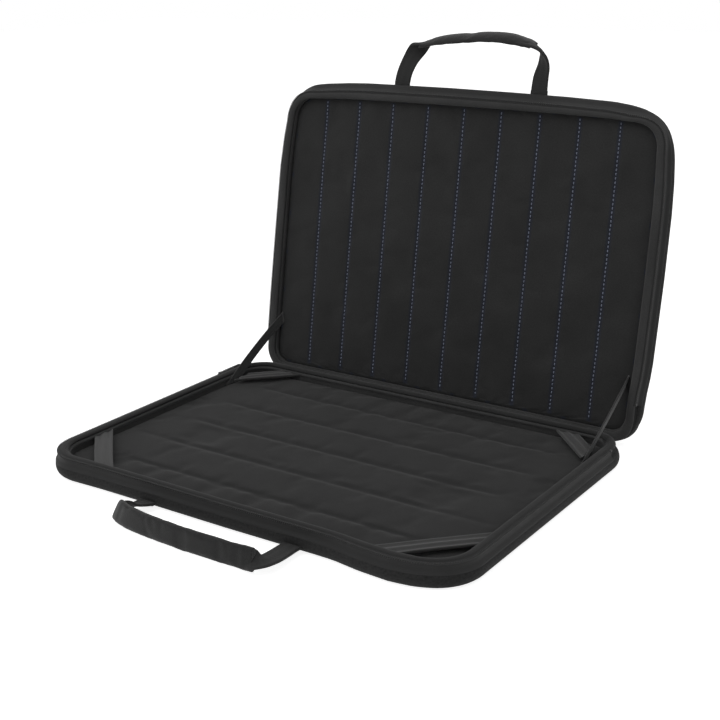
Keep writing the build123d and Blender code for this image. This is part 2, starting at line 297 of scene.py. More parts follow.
def ribbed(name, level, pitch, relief, sheen=0.25):
    """Webbing or elastic: strong ribs across, fine threads along."""
    s = Shader(name)
    across, along = s.threads(pitch, "X"), s.threads(pitch * 1.9, "Y")
    weave = s.math("MULTIPLY", across, s.span(along, 0.55, 1.0))
    patches = s.noise(12.0, detail=3.0)
    colour = s.tones(weave, grey(level * 0.72), grey(level * 1.25), 0.05, 0.95)
    colour = s.multiply(colour, s.tones(patches, *RIB_SHADES, 0.3, 0.7))
    return s.finish(
        Base_Color=colour, Normal=s.bump(weave, relief), Roughness=s.span(patches, 0.7, 0.85),
        Specular_IOR_Level=0.4, Sheen_Weight=sheen, Sheen_Roughness=0.5,
    )


def gunmetal(name):
    """Dark plated metal with fine scratches."""
    s = Shader(name)
    scratches = s.noise(0.6, detail=4.0, roughness=0.7)
    return s.finish(
        Base_Color=s.tones(scratches, grey(34), grey(58), 0.3, 0.8), Normal=s.bump(scratches, 0.02),
        Roughness=s.span(scratches, 0.28, 0.5), Metallic=0.85,
    )


def thread(name, dark, light):
    """Twisted thread or nylon filament."""
    s = Shader(name)
    twist = s.threads(0.35, "DIAGONAL")
    return s.finish(
        Base_Color=s.tones(twist, dark, light), Normal=s.bump(twist, 0.05),
        Roughness=s.span(twist, 0.45, 0.6), Sheen_Weight=0.2,
    )


MATERIALS = {
    "shell": cloth("shell_cloth", 41, 0.9, 0.10, spread=0.22, sheen=0.05, grain=0.9),
    "binding": cloth("binding_cloth", 35, 0.55, 0.04, spread=0.12, sheen=0.15),
    # The lid's rim binding is the base's binding cloth in a much lighter copy: a painted highlight for the
    # light that falls on the lid's rim, while the base's copy stays darker.
    "lid_binding_painted_light": cloth("lid_binding_cloth", 60, 0.55, 0.04, spread=0.12, sheen=0.15),
    "lid_pad": cloth("lid_lining", 47, 0.5, 0.03, seams=LID_QUILT_PITCH),
    "floor_pad": cloth("floor_lining", 39, 0.5, 0.03),
    # The wall lining is painted lighter than the other linings: painted fill light that lifts the shade
    # inside the rim wall.
    "wall": cloth("wall_lining", 60, 0.5, 0.03, sheen=0.15, grain=0.2),
    "spine": cloth("spine_cloth", 40, 0.8, 0.08, spread=0.2, rough=0.85, sheen=0.3, grain=0.6),
    "grip": cloth("grip_cloth", 31, 0.7, 0.06, spread=0.18, rough=0.85, sheen=0.35, grain=0.5),
    "tape": ribbed("zip_tape", 25, 0.6, 0.05, sheen=0.05),
    "webbing": ribbed("webbing", 17, 1.1, 0.12, sheen=0.1),
    "elastic": ribbed("elastic", 44, 0.8, 0.08),
    "ribbon": ribbed("stay_ribbon", 44, 0.5, 0.04),
    "coil": thread("coil_nylon", grey(24), grey(44)),
    "metal": gunmetal("slider_metal"),
    "stitch": thread("quilt_thread", (0.12, 0.14, 0.20), (0.25, 0.28, 0.37)),
}

# --- Outlines ---

CORNER_STEPS = 16
SIDE_X = np.unique(np.concatenate([np.linspace(-1, 1, 49), [-0.99, 0.99]]))
SIDE_Y = np.linspace(-1, 1, 33)


def rounded(half_width, front, spine, front_r, spine_r):
    """Points and outward normals of a rounded rectangle, anticlockwise, in the same order for every size."""
    points, normals = [], []

    def corner(x, y, radius, start):
        for step in range(1, CORNER_STEPS):
            turn = radians(start + 90 * step / CORNER_STEPS)
            normals.append((cos(turn), sin(turn)))
            points.append((x + radius * cos(turn), y + radius * sin(turn)))

    def side(start, end, normal, places):
        start, end = np.array(start), np.array(end)
        for share in (places + 1) / 2:
            points.append(tuple(start + share * (end - start)))
            normals.append(normal)

    w, f, s = half_width, front, spine
    side((w - spine_r, s), (-w + spine_r, s), (0, 1), SIDE_X)
    corner(-w + spine_r, s - spine_r, spine_r, 90)
    side((-w, s - spine_r), (-w, -f + front_r), (-1, 0), SIDE_Y)
    corner(-w + front_r, -f + front_r, front_r, 180)
    side((-w + front_r, -f), (w - front_r, -f), (0, -1), SIDE_X)
    corner(w - front_r, -f + front_r, front_r, 270)
    side((w, -f + front_r), (w, s - spine_r), (1, 0), SIDE_Y)
    corner(w - spine_r, s - spine_r, spine_r, 0)
    return np.array(points), np.array(normals)


def rim_line(half, out=0.0):
    """The rim wall's outline, moved outwards."""
    front_r, spine_r = CORNERS[half]["rim"]
    return rounded(RIM_X + out, RIM_Y + out, RIM_Y + out, front_r + out, spine_r + out)


def bulge_line(half, inset=0.0):
    """The bulge's outline, moved inwards."""
    front_r, spine_r = CORNERS[half]["bulge"]
    side, spine = RIM_X + BULGE_OUT - inset, RIM_Y + BULGE_OUT_SPINE - inset
    return rounded(side, FRONT_FACE - inset, spine, front_r - inset, spine_r - inset)


def at_height(points, height):
    """An outline's points in space."""
    return np.column_stack([points, np.full(len(points), height)])


# --- Meshes ---


def lengths(points, closed):
    """Distance along each column of points, with one more at the end of a closed line."""
    if closed:
        points = np.concatenate([points, points[:1]])
    steps = np.linalg.norm(np.diff(points, axis=0), axis=1)
    return np.concatenate([[0], np.cumsum(steps)])


def walk(run, points, distance):
    """Point at a distance along a line in a plane. run has the distances of its points."""
    return np.array([np.interp(distance, run, points[:, k]) for k in (0, 1)])


def mesh_object(name, vertices, faces, uvs, matrix):
    """Object from points in a half's frame. uvs gives (u, v) in millimetres for each corner of each face."""
    for half, own in MATRIX.items():
        if matrix is own:
            vertices = settle(half, np.array(vertices, dtype=float))
    mesh = bpy.data.meshes.new(name)
    mesh.from_pydata([tuple(v) for v in vertices], [], faces)
    layer = mesh.uv_layers.new(name="UVMap")
    flat = np.array([uv for face in uvs for uv in face], dtype=np.float32) / 10
    layer.data.foreach_set("uv", flat.ravel())
    mesh.transform(matrix)
    if matrix.determinant() < 0:
        mesh.flip_normals()
    mesh.shade_smooth()
    return add_object(name, mesh)


def grid_faces(count, width, around=False, tube=False):
    """Faces over count rows of width points. around closes each row, tube joins the last row to the first."""
    faces = []
    for i in range(count if tube else count - 1):
        for j in range(width if around else width - 1):
            k, m = (i + 1) % count, (j + 1) % width
            faces.append((i * width + j, i * width + m, k * width + m, k * width + j))
    return faces


def surface(name, rows, matrix, around=True, tube=False, flat_rows=0):
    """Skin over rows of points.

    The cloth's threads follow the rows, but run straight along x and y between the first flat_rows rows.
    """
    rows = np.array(rows, dtype=float)
    count, width = rows.shape[:2]
    u = lengths(rows[count // 2], around)
    v = lengths(rows[:, 0], tube)
    points, faces, uvs = rows.reshape(-1, 3), grid_faces(count, width, around, tube), []
    for face in faces:
        i, j = divmod(face[0], width)
        if i < flat_rows:
            uvs.append([tuple(points[k][:2]) for k in face])
        else:
            uvs.append([(u[j], v[i]), (u[j + 1], v[i]), (u[j + 1], v[i + 1]), (u[j], v[i + 1])])
    return mesh_object(name, points, faces, uvs, matrix)


def ring(name, half, profile, wave, seed):
    """Closed band round a half, from a profile of (out, height). wave is how uneven hand sewing leaves it."""
    rows = []
    for out, height in profile:
        points, normals = rim_line(half, out)
        row = at_height(points, height)
        for point, normal in zip(row, normals):
            drift = noise.noise((point[0] / 38, point[1] / 38, seed))
            fine = noise.noise((point[0] / 11, point[1] / 11, seed + 5))
            point[2] += wave * (0.7 * drift + 0.3 * fine)
            point[:2] += normal * wave * 0.6 * drift
        rows.append(row)
    return surface(name, rows, MATRIX[half], tube=True)


def join(name, objects):
    """One object from several, which share a material and a body."""
    bpy.ops.object.select_all(action="DESELECT")
    for made in objects:
        made.select_set(True)
    bpy.context.view_layer.objects.active = objects[0]
    bpy.ops.object.join()
    objects[0].name = name
    return objects[0]


def smoother(made):
    modifier = made.modifiers.new("smooth", "SUBSURF")
    modifier.levels = modifier.render_levels = 1
    return made


def dress(made, material, body, nodes=()):
    """Gives a piece its material, slot and body, and the CAD nodes that it replaces."""
    made.data.materials.clear()
    made.data.materials.append(MATERIALS[material])
    if body:
        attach(made, body)
    if nodes:
        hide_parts(*nodes)
    return made


# --- Moulded shells ---

# Share to which a ring shrinks where it closes a face
MIDDLE = 0.0005
SEAT = RIM_Y - 0.01
SEAT_LOW = 5.6


def moulded_shell(half):
    """Cloth-covered moulding: flat outer face, soft bulge, rim wall and the tray inside."""
    bottom, bulge = bulge_line(half, BULGE_BOTTOM_R)[0], bulge_line(half)[0]
    wall, inner = rim_line(half)[0], rim_line(half, -RIM_WALL)[0]
    shares = (MIDDLE, 0.35, 0.7, 0.92)
    rows = [at_height(bottom * share, 0.0) for share in shares]
    turns = np.linspace(0, pi / 2, 9)
    for turn in turns:
        edge = bulge_line(half, BULGE_BOTTOM_R * (1 - sin(turn)))[0]
        rows.append(at_height(edge, BULGE_BOTTOM_R * (1 - cos(turn))))
    for turn in turns[1:]:
        rows.append(at_height(wall + (bulge - wall) * cos(turn), BULGE_BOTTOM_R + BULGE_RISE * sin(turn)))
    rows += [at_height(wall, WALL_TOP), at_height(inner, WALL_TOP), at_height(inner, TRAY_FLOOR)]
    rows += [at_height(inner * share, TRAY_FLOOR) for share in (0.9, 0.4, MIDDLE)]
    rows = np.array(rows)
    # The spine cloth lies in a shallow seat on the spine side
    for row in rows:
        seated = (row[:, 1] > SEAT) & (np.abs(row[:, 0]) < STRIP_HALF + 1) & (row[:, 2] > SEAT_LOW)
        row[seated, 1] = SEAT
    shell = surface(f"{half}_shell_skin", rows, MATRIX[half], flat_rows=len(shares))
    return dress(shell, "shell", half, [f"{half}_shell"])


for half in ("base", "lid"):
    moulded_shell(half)

# --- Rim bindings and wall linings ---

# Profiles of (out, height) from the rim's outline
BINDING = [
    (-0.6, 16.95), (0.0, 17.05), (0.1, 17.6), (-0.05, 18.2), (-0.5, 18.8), (-1.2, 19.3), (-2.2, 19.65),
    (-3.3, 19.8), (-4.5, 19.8), (-5.6, 19.6), (-6.6, 19.2), (-7.3, 18.7), (-7.6, 18.1), (-7.4, 17.6),
    (-6.9, 17.35), (-6.2, 17.2), (-3.0, 17.0),
]
LINING = [
    (-6.1, 4.1), (-6.1, 16.7), (-6.7, 17.0), (-7.5, 16.95), (-8.3, 16.6), (-8.75, 15.9), (-8.65, 15.1),
    (-8.1, 14.5), (-7.5, 14.0), (-7.2, 13.0), (-7.2, 4.1),
]

for half in ("base", "lid"):
    # The lid's rim takes the lighter copy of the binding cloth, with its painted highlight.
    material, seed = ("binding", 2.0) if half == "base" else ("lid_binding_painted_light", 9.0)
    binding = ring(f"{half}_rim_roll", half, BINDING, wave=0.22, seed=seed)
    dress(smoother(binding), material, half, [f"{half}_rim_binding"])
    # The wall lining's light colour is painted fill light for the shade inside the rim.
    lining = ring(f"{half}_wall_cloth", half, LINING, wave=0.12, seed=4.0)
    dress(smoother(lining), "wall", half, [f"{half}_wall_lining"])


# --- Quilted pads ---

EDGE_ROUND = 1.5
CLOTH_FRAMES = 20
COARSE_STEP, COARSE_COLUMNS = 5.5, 65
FINE_STEP, FINE_COLUMNS = 3.0, 111
# Even rows, and columns as shares, are left out this near to a channel
ROW_ROOM, COLUMN_ROOM = 2.5, 0.012
SEWN_HALF = 0.8
# Distances from a channel's centre at which it gets rows or columns, for a channel up to this wide
CHANNEL_STEPS = np.array([-3.2, -2.2, -1.4, -0.8, -0.3, 0.3, 0.8, 1.4, 2.2, 3.2])
CHANNEL_WIDTH = 1.6


def pad_half_width(half, inset, y):
    """Half the width of the pad's outline at y, inset from its edge."""
    front_r, spine_r = CORNERS[half]["rim"]
    out = -PAD_EDGE - inset
    width, depth = RIM_X + out, RIM_Y + out
    radius = (front_r if y < 0 else spine_r) + out
    into = abs(y) - (depth - radius)
    if into <= 0:
        return width
    return width - radius + sqrt(max(0.0, radius**2 - into**2))


def pad_grid(half, inset, ys, shares):
    """Grid of points over a pad: rows at ys, and columns at shares of the width there, from -1 to 1."""
    grid = np.zeros((len(ys), len(shares), 3))
    for i, y in enumerate(ys):
        grid[i, :, 0] = np.array(shares) * pad_half_width(half, inset + EDGE_ROUND, y)
        grid[i, :, 1] = y
    return grid


def pad_rows(half, inset, step):
    """Heights y for a pad's rows, closer together round its corners."""
    edge = PAD_EDGE + inset + EDGE_ROUND
    depth = RIM_Y - edge
    front_r, spine_r = (r - edge for r in CORNERS[half]["rim"])
    turns = np.linspace(0, pi / 2, 9)
    front = -(depth - front_r) - front_r * np.sin(turns)
    spine = (depth - spine_r) + spine_r * np.sin(turns)
    count = int((2 * depth - front_r - spine_r) / step)
    middle = np.linspace(-(depth - front_r), depth - spine_r, count)
    return np.unique(np.round(np.concatenate([front, middle, spine]), 4))


def simulate(points, faces, held, pressure, cap):
    """Cloth simulation of a sewn cover over its padding, held at its seams. Points and cap in millimetres.
    """
    mesh = bpy.data.meshes.new("cover")
    mesh.from_pydata([tuple(p) for p in points * 0.001], [], faces)
    cover = add_object("cover", mesh)
    cover.vertex_groups.new(name="held").add([int(k) for k in np.flatnonzero(held)], 1.0, "REPLACE")
    settings = cover.modifiers.new("cloth", "CLOTH").settings
    settings.vertex_group_mass = "held"
    settings.quality = 6
    settings.mass = 0.2
    settings.tension_stiffness = settings.compression_stiffness = 12
    settings.bending_stiffness = 1.5
    settings.shrink_min = -0.012
    settings.use_pressure = True
    settings.uniform_pressure_force = pressure
    settings.effector_weights.gravity = 0
    scene = bpy.context.scene
    for step in range(1, CLOTH_FRAMES + 1):
        scene.frame_set(step)
    shown = cover.evaluated_get(bpy.context.evaluated_depsgraph_get())
    result = np.empty(len(points) * 3)
    shown.data.vertices.foreach_get("co", result)
    scene.frame_set(1)
    bpy.data.objects.remove(cover)
    moved = result.reshape(-1, 3) * 1000 - points
    distance = np.linalg.norm(moved, axis=1, keepdims=True)
    return points + moved * cap * np.tanh(distance / cap) / np.maximum(distance, 1e-9)


def with_lines(places, lines, centres, clear):
    """Places, with lines put in for those that are within clear of a centre."""
    away = np.min(np.abs(places[:, None] - centres), axis=1)
    return np.unique(np.concatenate([places[away > clear], lines]))


class Quilt:
    """Padding under a cover that is sewn down along straight channels.

    The channels end margin before the edge, and fade out over fade. groove and width are a channel's own.
    pressure fills the cover, which rises by cap at most.
    """

    def __init__(
        self, half, top, inset, along_spine, lines, pitch, margin, fade, pressure, cap, groove, width
    ):
        self.half, self.inset, self.top = half, inset, top
        edge = PAD_EDGE + inset
        depth, full = RIM_Y - edge - EDGE_ROUND, RIM_X - edge - EDGE_ROUND
        self.centres = centres = (np.arange(lines) - (lines - 1) / 2) * pitch
        self.reach = reach = (full if along_spine else depth) - margin

        # Coarse sheet for the simulation, with rows or columns on the channels
        ys, shares = pad_rows(half, inset, COARSE_STEP), np.linspace(-1, 1, COARSE_COLUMNS)
        if along_spine:
            ys = with_lines(ys, centres, centres, ROW_ROOM)
        else:
            shares = with_lines(shares, centres / full, centres / full, COLUMN_ROOM)
        coarse = pad_grid(half, inset, ys, shares)
        held = np.zeros(coarse.shape[:2], bool)
        held[[0, -1], :] = held[:, [0, -1]] = True
        across, run = self.lay(coarse, along_spine)
        for centre in centres:
            held |= (np.abs(across - centre) < SEWN_HALF) & (run < reach)
        swollen = simulate(coarse.reshape(-1, 3), grid_faces(*coarse.shape[:2]), held.ravel(), pressure, cap)
        rise = swollen.reshape(coarse.shape)[:, :, 2]

        # Fine sheet, with more rows or columns in each channel
        steps = CHANNEL_STEPS * max(1.0, width / CHANNEL_WIDTH)
        fine = np.concatenate([centres + d for d in steps])
        fine_ys, fine_shares = pad_rows(half, inset, FINE_STEP), np.linspace(-1, 1, FINE_COLUMNS)
        clear = steps[-1] + 0.8
        if along_spine:
            fine_ys = with_lines(fine_ys, fine, centres, clear)
        else:
            fine_shares = with_lines(fine_shares, fine / full, centres / full, clear / full)
        self.grid = grid = pad_grid(half, inset, fine_ys, fine_shares)
        columns = np.array([np.interp(fine_shares, shares, row) for row in rise])
        grid[:, :, 2] = top + np.array([np.interp(fine_ys, ys, column) for column in columns.T]).T
        across, run = self.lay(grid, along_spine)
        depth_share = np.clip((reach - run) / fade, 0, 1)
        for centre in centres:
            grid[:, :, 2] -= groove * depth_share * np.exp(-(((across - centre) / width) ** 2))
        for point in grid.reshape(-1, 3):
            x, y = point[:2]
            point[2] += 0.16 * noise.noise((x / 24, y / 24, 3.0)) + 0.07 * noise.noise((x / 8, y / 8, 8.0))

    @staticmethod
    def lay(grid, along_spine):
        """Place across the channels, and distance along them from the middle."""
        x, y = grid[:, :, 0], grid[:, :, 1]
        return (y, np.abs(x)) if along_spine else (x, np.abs(y))

    def height(self, x, y):
        """Height of the cover at a point of a channel that runs across the spine."""
        row = self.grid[np.argmin(np.abs(self.grid[:, 0, 1] - y))]
        return float(np.interp(x, row[:, 0], row[:, 2]))

    def piece(self, name, channel=None):
        """Closed pad: the edge rolls over and goes down, to a channel round the pad where there is one.

        channel is the height of the channel's floor.
        """
        rows, columns = self.grid.shape[:2]
        vertices = list(self.grid.reshape(-1, 3))
        faces = grid_faces(rows, columns)
        uvs = [[tuple(vertices[k][:2]) for k in corners] for corners in faces]
        index = np.arange(rows * columns).reshape(rows, columns)
        last = np.concatenate([index[0, :-1], index[:-1, -1], index[-1, :0:-1], index[:0:-1, 0]]).tolist()
        points = np.array([vertices[k] for k in last])
        along = (np.roll(points, -1, axis=0) - np.roll(points, 1, axis=0))[:, :2]
        normals = np.column_stack([along[:, 1], -along[:, 0]]) / np.linalg.norm(along, axis=1)[:, None]
        rings = []

        def add_ring(out, height, step, share=1.0):
            line = (points[:, :2] + normals * out) * share
            rings.append((np.column_stack([line, np.broadcast_to(height, len(line))]), step))

        deep = EDGE_ROUND if channel is None else 0.5 * (self.top - channel)
        for turn in (pi / 6, pi / 3, pi / 2):
            add_ring(EDGE_ROUND * sin(turn), points[:, 2] - deep * (1 - cos(turn)), 0.8)
        out = EDGE_ROUND
        if channel is not None:
            for out in (EDGE_ROUND + 0.5 * self.inset, EDGE_ROUND + self.inset):
                add_ring(out, channel, 1.0)
        for share, step in ((1.0, 5.0), (0.95, 8.0), (0.5, 60.0), (MIDDLE, 60.0)):
            add_ring(out, PAD_BOTTOM, step, share)
        run, drop = lengths(points, True), 0.0
        for ring_points, step in rings:
            start = len(vertices)
            vertices.extend(ring_points)
            now = list(range(start, start + len(last)))
            for k in range(len(last)):
                m = (k + 1) % len(last)
                faces.append((last[k], now[k], now[m], last[m]))
                near, far = run[k], run[k + 1]
                uvs.append([(near, drop), (near, drop + step), (far, drop + step), (far, drop)])
            last, drop = now, drop + step
        return mesh_object(name, vertices, faces, uvs, MATRIX[self.half])


floor_quilt = Quilt(
    "base", top=10.3, inset=0.0, along_spine=True, lines=5, pitch=FLOOR_QUILT_PITCH, margin=32.0, fade=30.0,
    pressure=2.2, cap=0.8, groove=0.8, width=3.2,
)
floor = floor_quilt.piece("base_floor_quilt")
dress(smoother(floor), "floor_pad", "base", ["base_floor_pad"])

lid_quilt = Quilt(
    "lid", top=12.7, inset=1.5, along_spine=False, lines=9, pitch=LID_QUILT_PITCH, margin=0.6, fade=2.0,
    pressure=2.0, cap=0.7, groove=0.6, width=1.5,
)
panel = lid_quilt.piece("lid_quilt", channel=12.0)
dress(smoother(panel), "lid_pad", "lid", ["lid_lining_pad"])


def stitches(name, quilt, pitch, length, radius, seed):
    """Rows of stitches along a quilt's channels, each a short thread that dips into the cloth."""
    chance = np.random.default_rng(seed)
    along, across, up = np.array([0, 1.0, 0]), np.array([-1.0, 0, 0]), np.array([0, 0, 1.0])
    sides, steps = 6, 5
    shape = grid_faces(steps, sides, around=True) + [
        tuple(range(sides - 1, -1, -1)), tuple(range((steps - 1) * sides, steps * sides)),
    ]
    shape_uvs = []
    for i in range(steps - 1):
        for u in np.arange(sides) * 0.3:
            shape_uvs.append(((u, i), (u + 0.3, i), (u + 0.3, i + 1), (u, i + 1)))
    shape_uvs += [[(0, 0)] * sides] * 2
    vertices, faces, uvs = [], [], []
    for x in quilt.centres:
        for k in range(int(2 * quilt.reach / pitch)):
            direction = along + across * chance.normal(0, 0.05)
            middle = np.array([x, pitch * (k + 0.5) - quilt.reach, 0]) + across * chance.normal(0, 0.06)
            middle[2] = quilt.height(middle[0], middle[1]) + radius * 0.7
            base = len(vertices)
            for i in range(steps):
                share = 2 * i / (steps - 1) - 1
                thick = radius * sqrt(max(0.12, 1 - share**2 * 0.85))
                centre = middle + direction * share * length / 2 - up * radius * 1.6 * share**4
                for j in range(sides):
                    turn = 2 * pi * j / sides
                    vertices.append(centre + thick * (across * cos(turn) + up * sin(turn)))
            faces += [tuple(base + k for k in face) for face in shape]
            uvs += shape_uvs
    return mesh_object(name, vertices, faces, uvs, MATRIX[quilt.half])


quilting = stitches("lid_quilting", lid_quilt, pitch=3.3, length=2.4, radius=0.5, seed=7)
dress(quilting, "stitch", "lid")

# --- Zip ---


def zip_line(half, out, end, onto=0.0):
    """The rim's line on the three open sides, from the left end to the right end.

    onto is how far it lies down on the bulge, where the tape is sewn.
    """
    rim, normals = rim_line(half)
    points = rim + (bulge_line(half)[0] - rim) * onto
    start = len(SIDE_X) + CORNER_STEPS - 1
    open_sides = slice(start, start + 2 * len(SIDE_Y) + len(SIDE_X) + 2 * (CORNER_STEPS - 1))
    keep = rim[open_sides, 1] < end - 2
    line, faces_out = points[open_sides][keep], normals[open_sides][keep]
    side = RIM_X + BULGE_OUT * onto
    line = np.vstack([[(-side, end)], line, [(side, end)]])
    faces_out = np.vstack([[(-1, 0)], faces_out, [(1, 0)]])
    return line + faces_out * out, faces_out


# Profile of (out, height, share of the bulge under it)
TAPE = [
    (0.25, 11.3, 0.81), (0.4, 11.6, 0.77), (0.45, 12.4, 0.62), (0.5, 13.1, 0.42), (0.7, 13.8, 0.12),
    (0.8, 15.0, 0), (0.8, 16.4, 0), (0.75, 17.6, 0), (0.5, 18.4, 0), (0.05, 19.0, 0), (-0.6, 19.35, 0),
    (-0.9, 19.2, 0), (-0.4, 18.5, 0), (-0.1, 17.6, 0), (-0.1, 13.6, 0), (-0.2, 12.4, 0.4), (-0.2, 11.3, 0.7),
]


def zip_tape(half):
    """Tape from the edge of the binding down onto the bulge."""
    rows = [at_height(zip_line(half, out, ZIP_END, onto)[0], height) for out, height, onto in TAPE]
    tape = surface(f"{half}_tape_cloth", rows, MATRIX[half], around=False, tube=True)
    dress(tape, "tape", half, [f"{half}_zip_tape"])


def zip_coil(half):
    """Nylon coil along the edge of the tape: one long helix that follows the rim."""
    line, normals = zip_line(half, 0.0, COIL_END)
    along = lengths(line, False)
    pitch, per_turn, thread_r = 1.6, 9, 0.3
    middle_out, wide, high = 0.68, 0.4, 0.62
    sides = 2 * pi * np.arange(4) / 4
    count = int(along[-1] / pitch) * per_turn
    rows = []
    for k in range(count):
        s = along[-1] * k / (count - 1)
        turn = 2 * pi * k / per_turn
        base, normal = walk(along, line, s), walk(along, normals, s)
        normal /= np.linalg.norm(normal)
        out, height = middle_out + wide * cos(turn), COIL_HEIGHT + high * sin(turn)
        radial = np.array([*(normal * cos(turn)), sin(turn)])
        tangent = np.array([-normal[1], normal[0], 0])
        centre = np.array([*(base + normal * out), height])
        rows.append([centre + thread_r * (radial * cos(a) + tangent * sin(a)) for a in sides])
    coil = surface(f"{half}_coil_teeth", rows, MATRIX[half])
    dress(coil, "coil", half, [f"{half}_zip_coil"])


def bent(value, power):
    """Power of a sine or cosine that keeps its sign. Below 1 it makes a circle squarer."""
    return np.sign(value) * abs(value) ** power


def zip_stops(half):
    """Blocks crimped on the ends of the coil, where the slider comes to rest."""
    middle_out, wide, high, squareness = 0.75, 0.8, 0.85, 0.6
    profile = ((-0.95, 0.05), (-0.95, 0.8), (-0.75, 1.0), (0.75, 1.0), (0.95, 0.8), (0.95, 0.05))
    blocks = []
    for side in (-1, 1):
        rows = []
        for along, size in profile:
            rows.append([])
            for turn in np.linspace(0, 2 * pi, 12, endpoint=False):
                out = middle_out + wide * size * bent(cos(turn), squareness)
                height = COIL_HEIGHT + high * size * bent(sin(turn), squareness)
                rows[-1].append((side * (RIM_X + out), ZIP_END - 1 + side * along, height))
        blocks.append(surface(f"{half}_stop", rows, MATRIX[half]))
    dress(join(f"{half}_coil_stops", blocks), "coil", half, [f"{half}_zip_stops"])


for half in ("base", "lid"):
    zip_tape(half)
    zip_coil(half)
    zip_stops(half)

for node in ("zip_slider", "zip_pull"):
    for made_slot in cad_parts[node].material_slots:
        made_slot.material = MATERIALS["metal"]

# --- Straps ---


def strap(name, steps, place, width, thickness, matrix, ribs=0.0):
    """Closed flat strap, with ribs along it. place(step, across, through) gives the points of a section."""
    edge = thickness / 2
    flat = width / 2 - edge * 0.5
    upper = [(x, edge + ribs * cos(2 * pi * x / flat)) for x in np.linspace(flat, -flat, 17)]
    side = [(-width / 2, edge * 0.45), (-width / 2, -edge * 0.45)]
    profile = upper + side + [(-x, -z) for x, z in upper] + [(-x, -z) for x, z in side]
    rows = np.array([[place(step, across, through) for across, through in profile] for step in steps], float)
    for end in (0, -1):
        middle = rows[end].mean(axis=0)
        closing = (middle + (rows[end] - middle) * 0.05)[None]
        rows = np.concatenate([closing, rows] if end == 0 else [rows, closing])
    return surface(name, rows, matrix)


STAY_LOW = Vector((0, 83.0, 10.5))
STAY_HIGH = (LID @ Vector((0, 81.5, 13.5))) * 1000
LID_ORIGIN = LID.translation * 1000
LID_OUT = (LID.to_3x3() @ Vector((0, 0, 1))).normalized()
FLOOR_COVER, LID_COVER = 10.05, 12.65


def stay(name, side, x, turned, bow):
    """Ribbon from the base's padding to the lid's, drawn with the lid open. On the real case it folds into
    the tray as the lid closes.

    x is how far out it is, turned how far its width turns to the side, and bow how far it bends.
    """
    along = (STAY_HIGH - STAY_LOW).normalized()
    across_way = Vector((sin(turned), -along.z * cos(turned), along.y * cos(turned)))

    def place(step, across, through):
        point = STAY_LOW + across_way * across
        low = (FLOOR_COVER - point.z) / along.z
        high = (LID_COVER - (point - LID_ORIGIN).dot(LID_OUT)) / along.dot(LID_OUT)
        point = point + along * (low + (high - low) * step)
        sag = 4 * step * (1 - step)
        point = point + Vector((side * (x + 0.5 * sag), 0, 0)) + along.cross(across_way) * through
        return point + across_way * (bow * sag)

    ribbon = strap(name, np.linspace(0, 1, 29), place, 8.0, 1.1, MM, ribs=0.08)
    dress(ribbon, "ribbon", None, [name.replace("_ribbon", "_stay")])
    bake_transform(ribbon)


BAND_WIDTH, BAND_HEIGHT = 14.0, 15.1


def corner_band(name, side, end, reach):
    """Elastic band across a corner of the tray, sewn under the binding at both walls.

    reach is the distance from the corner of the linings to the ends of its centre line. The bands at the
    spine stop beside the stays.
    """
    start_x = 7.7 if end > 0 else -0.05

    def place(step, across, through):
        whole = reach + across * sqrt(2)
        share = start_x / whole + (1.001 - start_x / whole) * step
        bow = sin(pi * step)
        return (
            side * (LINING_X - whole * share),
            end * (LINING_Y - whole * (1 - share)),
            BAND_HEIGHT + through + 0.35 * bow - 0.25 * bow * (2 * across / BAND_WIDTH) ** 2,
        )

    band = strap(name, np.linspace(0, 1, 25), place, BAND_WIDTH, 1.1, BASE, ribs=0.45)
    dress(band, "elastic", "base", [name.replace("_elastic", "")])


for name, side, lie in (("left", -1, (172.3, radians(-12), 1.5)), ("right", 1, (167.5, radians(16), 0))):
    stay(f"{name}_ribbon", side, *lie)
    corner_band(f"corner_band_front_{name}_elastic", side, -1, 52.0)
    corner_band(f"corner_band_back_{name}_elastic", side, 1, 40.0)


def spine_cloth():
    """Cloth hinge: it lies on the lid's spine wall, and its hem turns in to the base at the fold."""
    profile = [
        (129.75, 33.9), (130.0, 33.95), (130.75, 33.4), (130.85, 31), (130.8, 24), (130.9, 18), (130.8, 12),
        (130.8, 7.4), (130.5, 6.8), (129.9, 6.8), (129.62, 7.4), (129.6, 14), (129.6, 24), (129.62, 31),
        (129.65, 33.0), (129.6, 33.5),
    ]
    rows = []
    for y, height in profile:
        xs = np.linspace(-STRIP_HALF, STRIP_HALF, 61)
        ripple = [0.12 * noise.noise((x / 19, height / 9, 1.0)) for x in xs]
        rows.append([(x, y + r, height) for x, r in zip(xs, ripple)])
    hinge_cloth = surface("spine_hinge_cloth", rows, LID, around=False, tube=True)
    dress(hinge_cloth, "spine", None, ["spine_strip"])
    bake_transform(hinge_cloth)


spine_cloth()

# --- Carrying handles ---

TILT = radians(7)
ROOT_HEIGHT = 5.2
FOLD = np.array([0, -FRONT_FACE - 1.3, ROOT_HEIGHT])
WEBBING_WIDTH = 15.0
SLEEVE_WIDTH = 16.4
HEM_LENGTH = 9
# Length over which a sleeve's end is pressed flat
PRESSED_LENGTH = 24
# Distance from the shell over which a handle comes down to the height it hangs at
FREE_LENGTH = 26
ROOT_OUT, ROOT_LENGTH = 3.0, 10.0
SPAN_STEPS = 24
ACROSS = np.array([1.0, 0, 0])
UP = np.array([0, sin(TILT), cos(TILT)])
OUT = np.array([0, -cos(TILT), sin(TILT)])


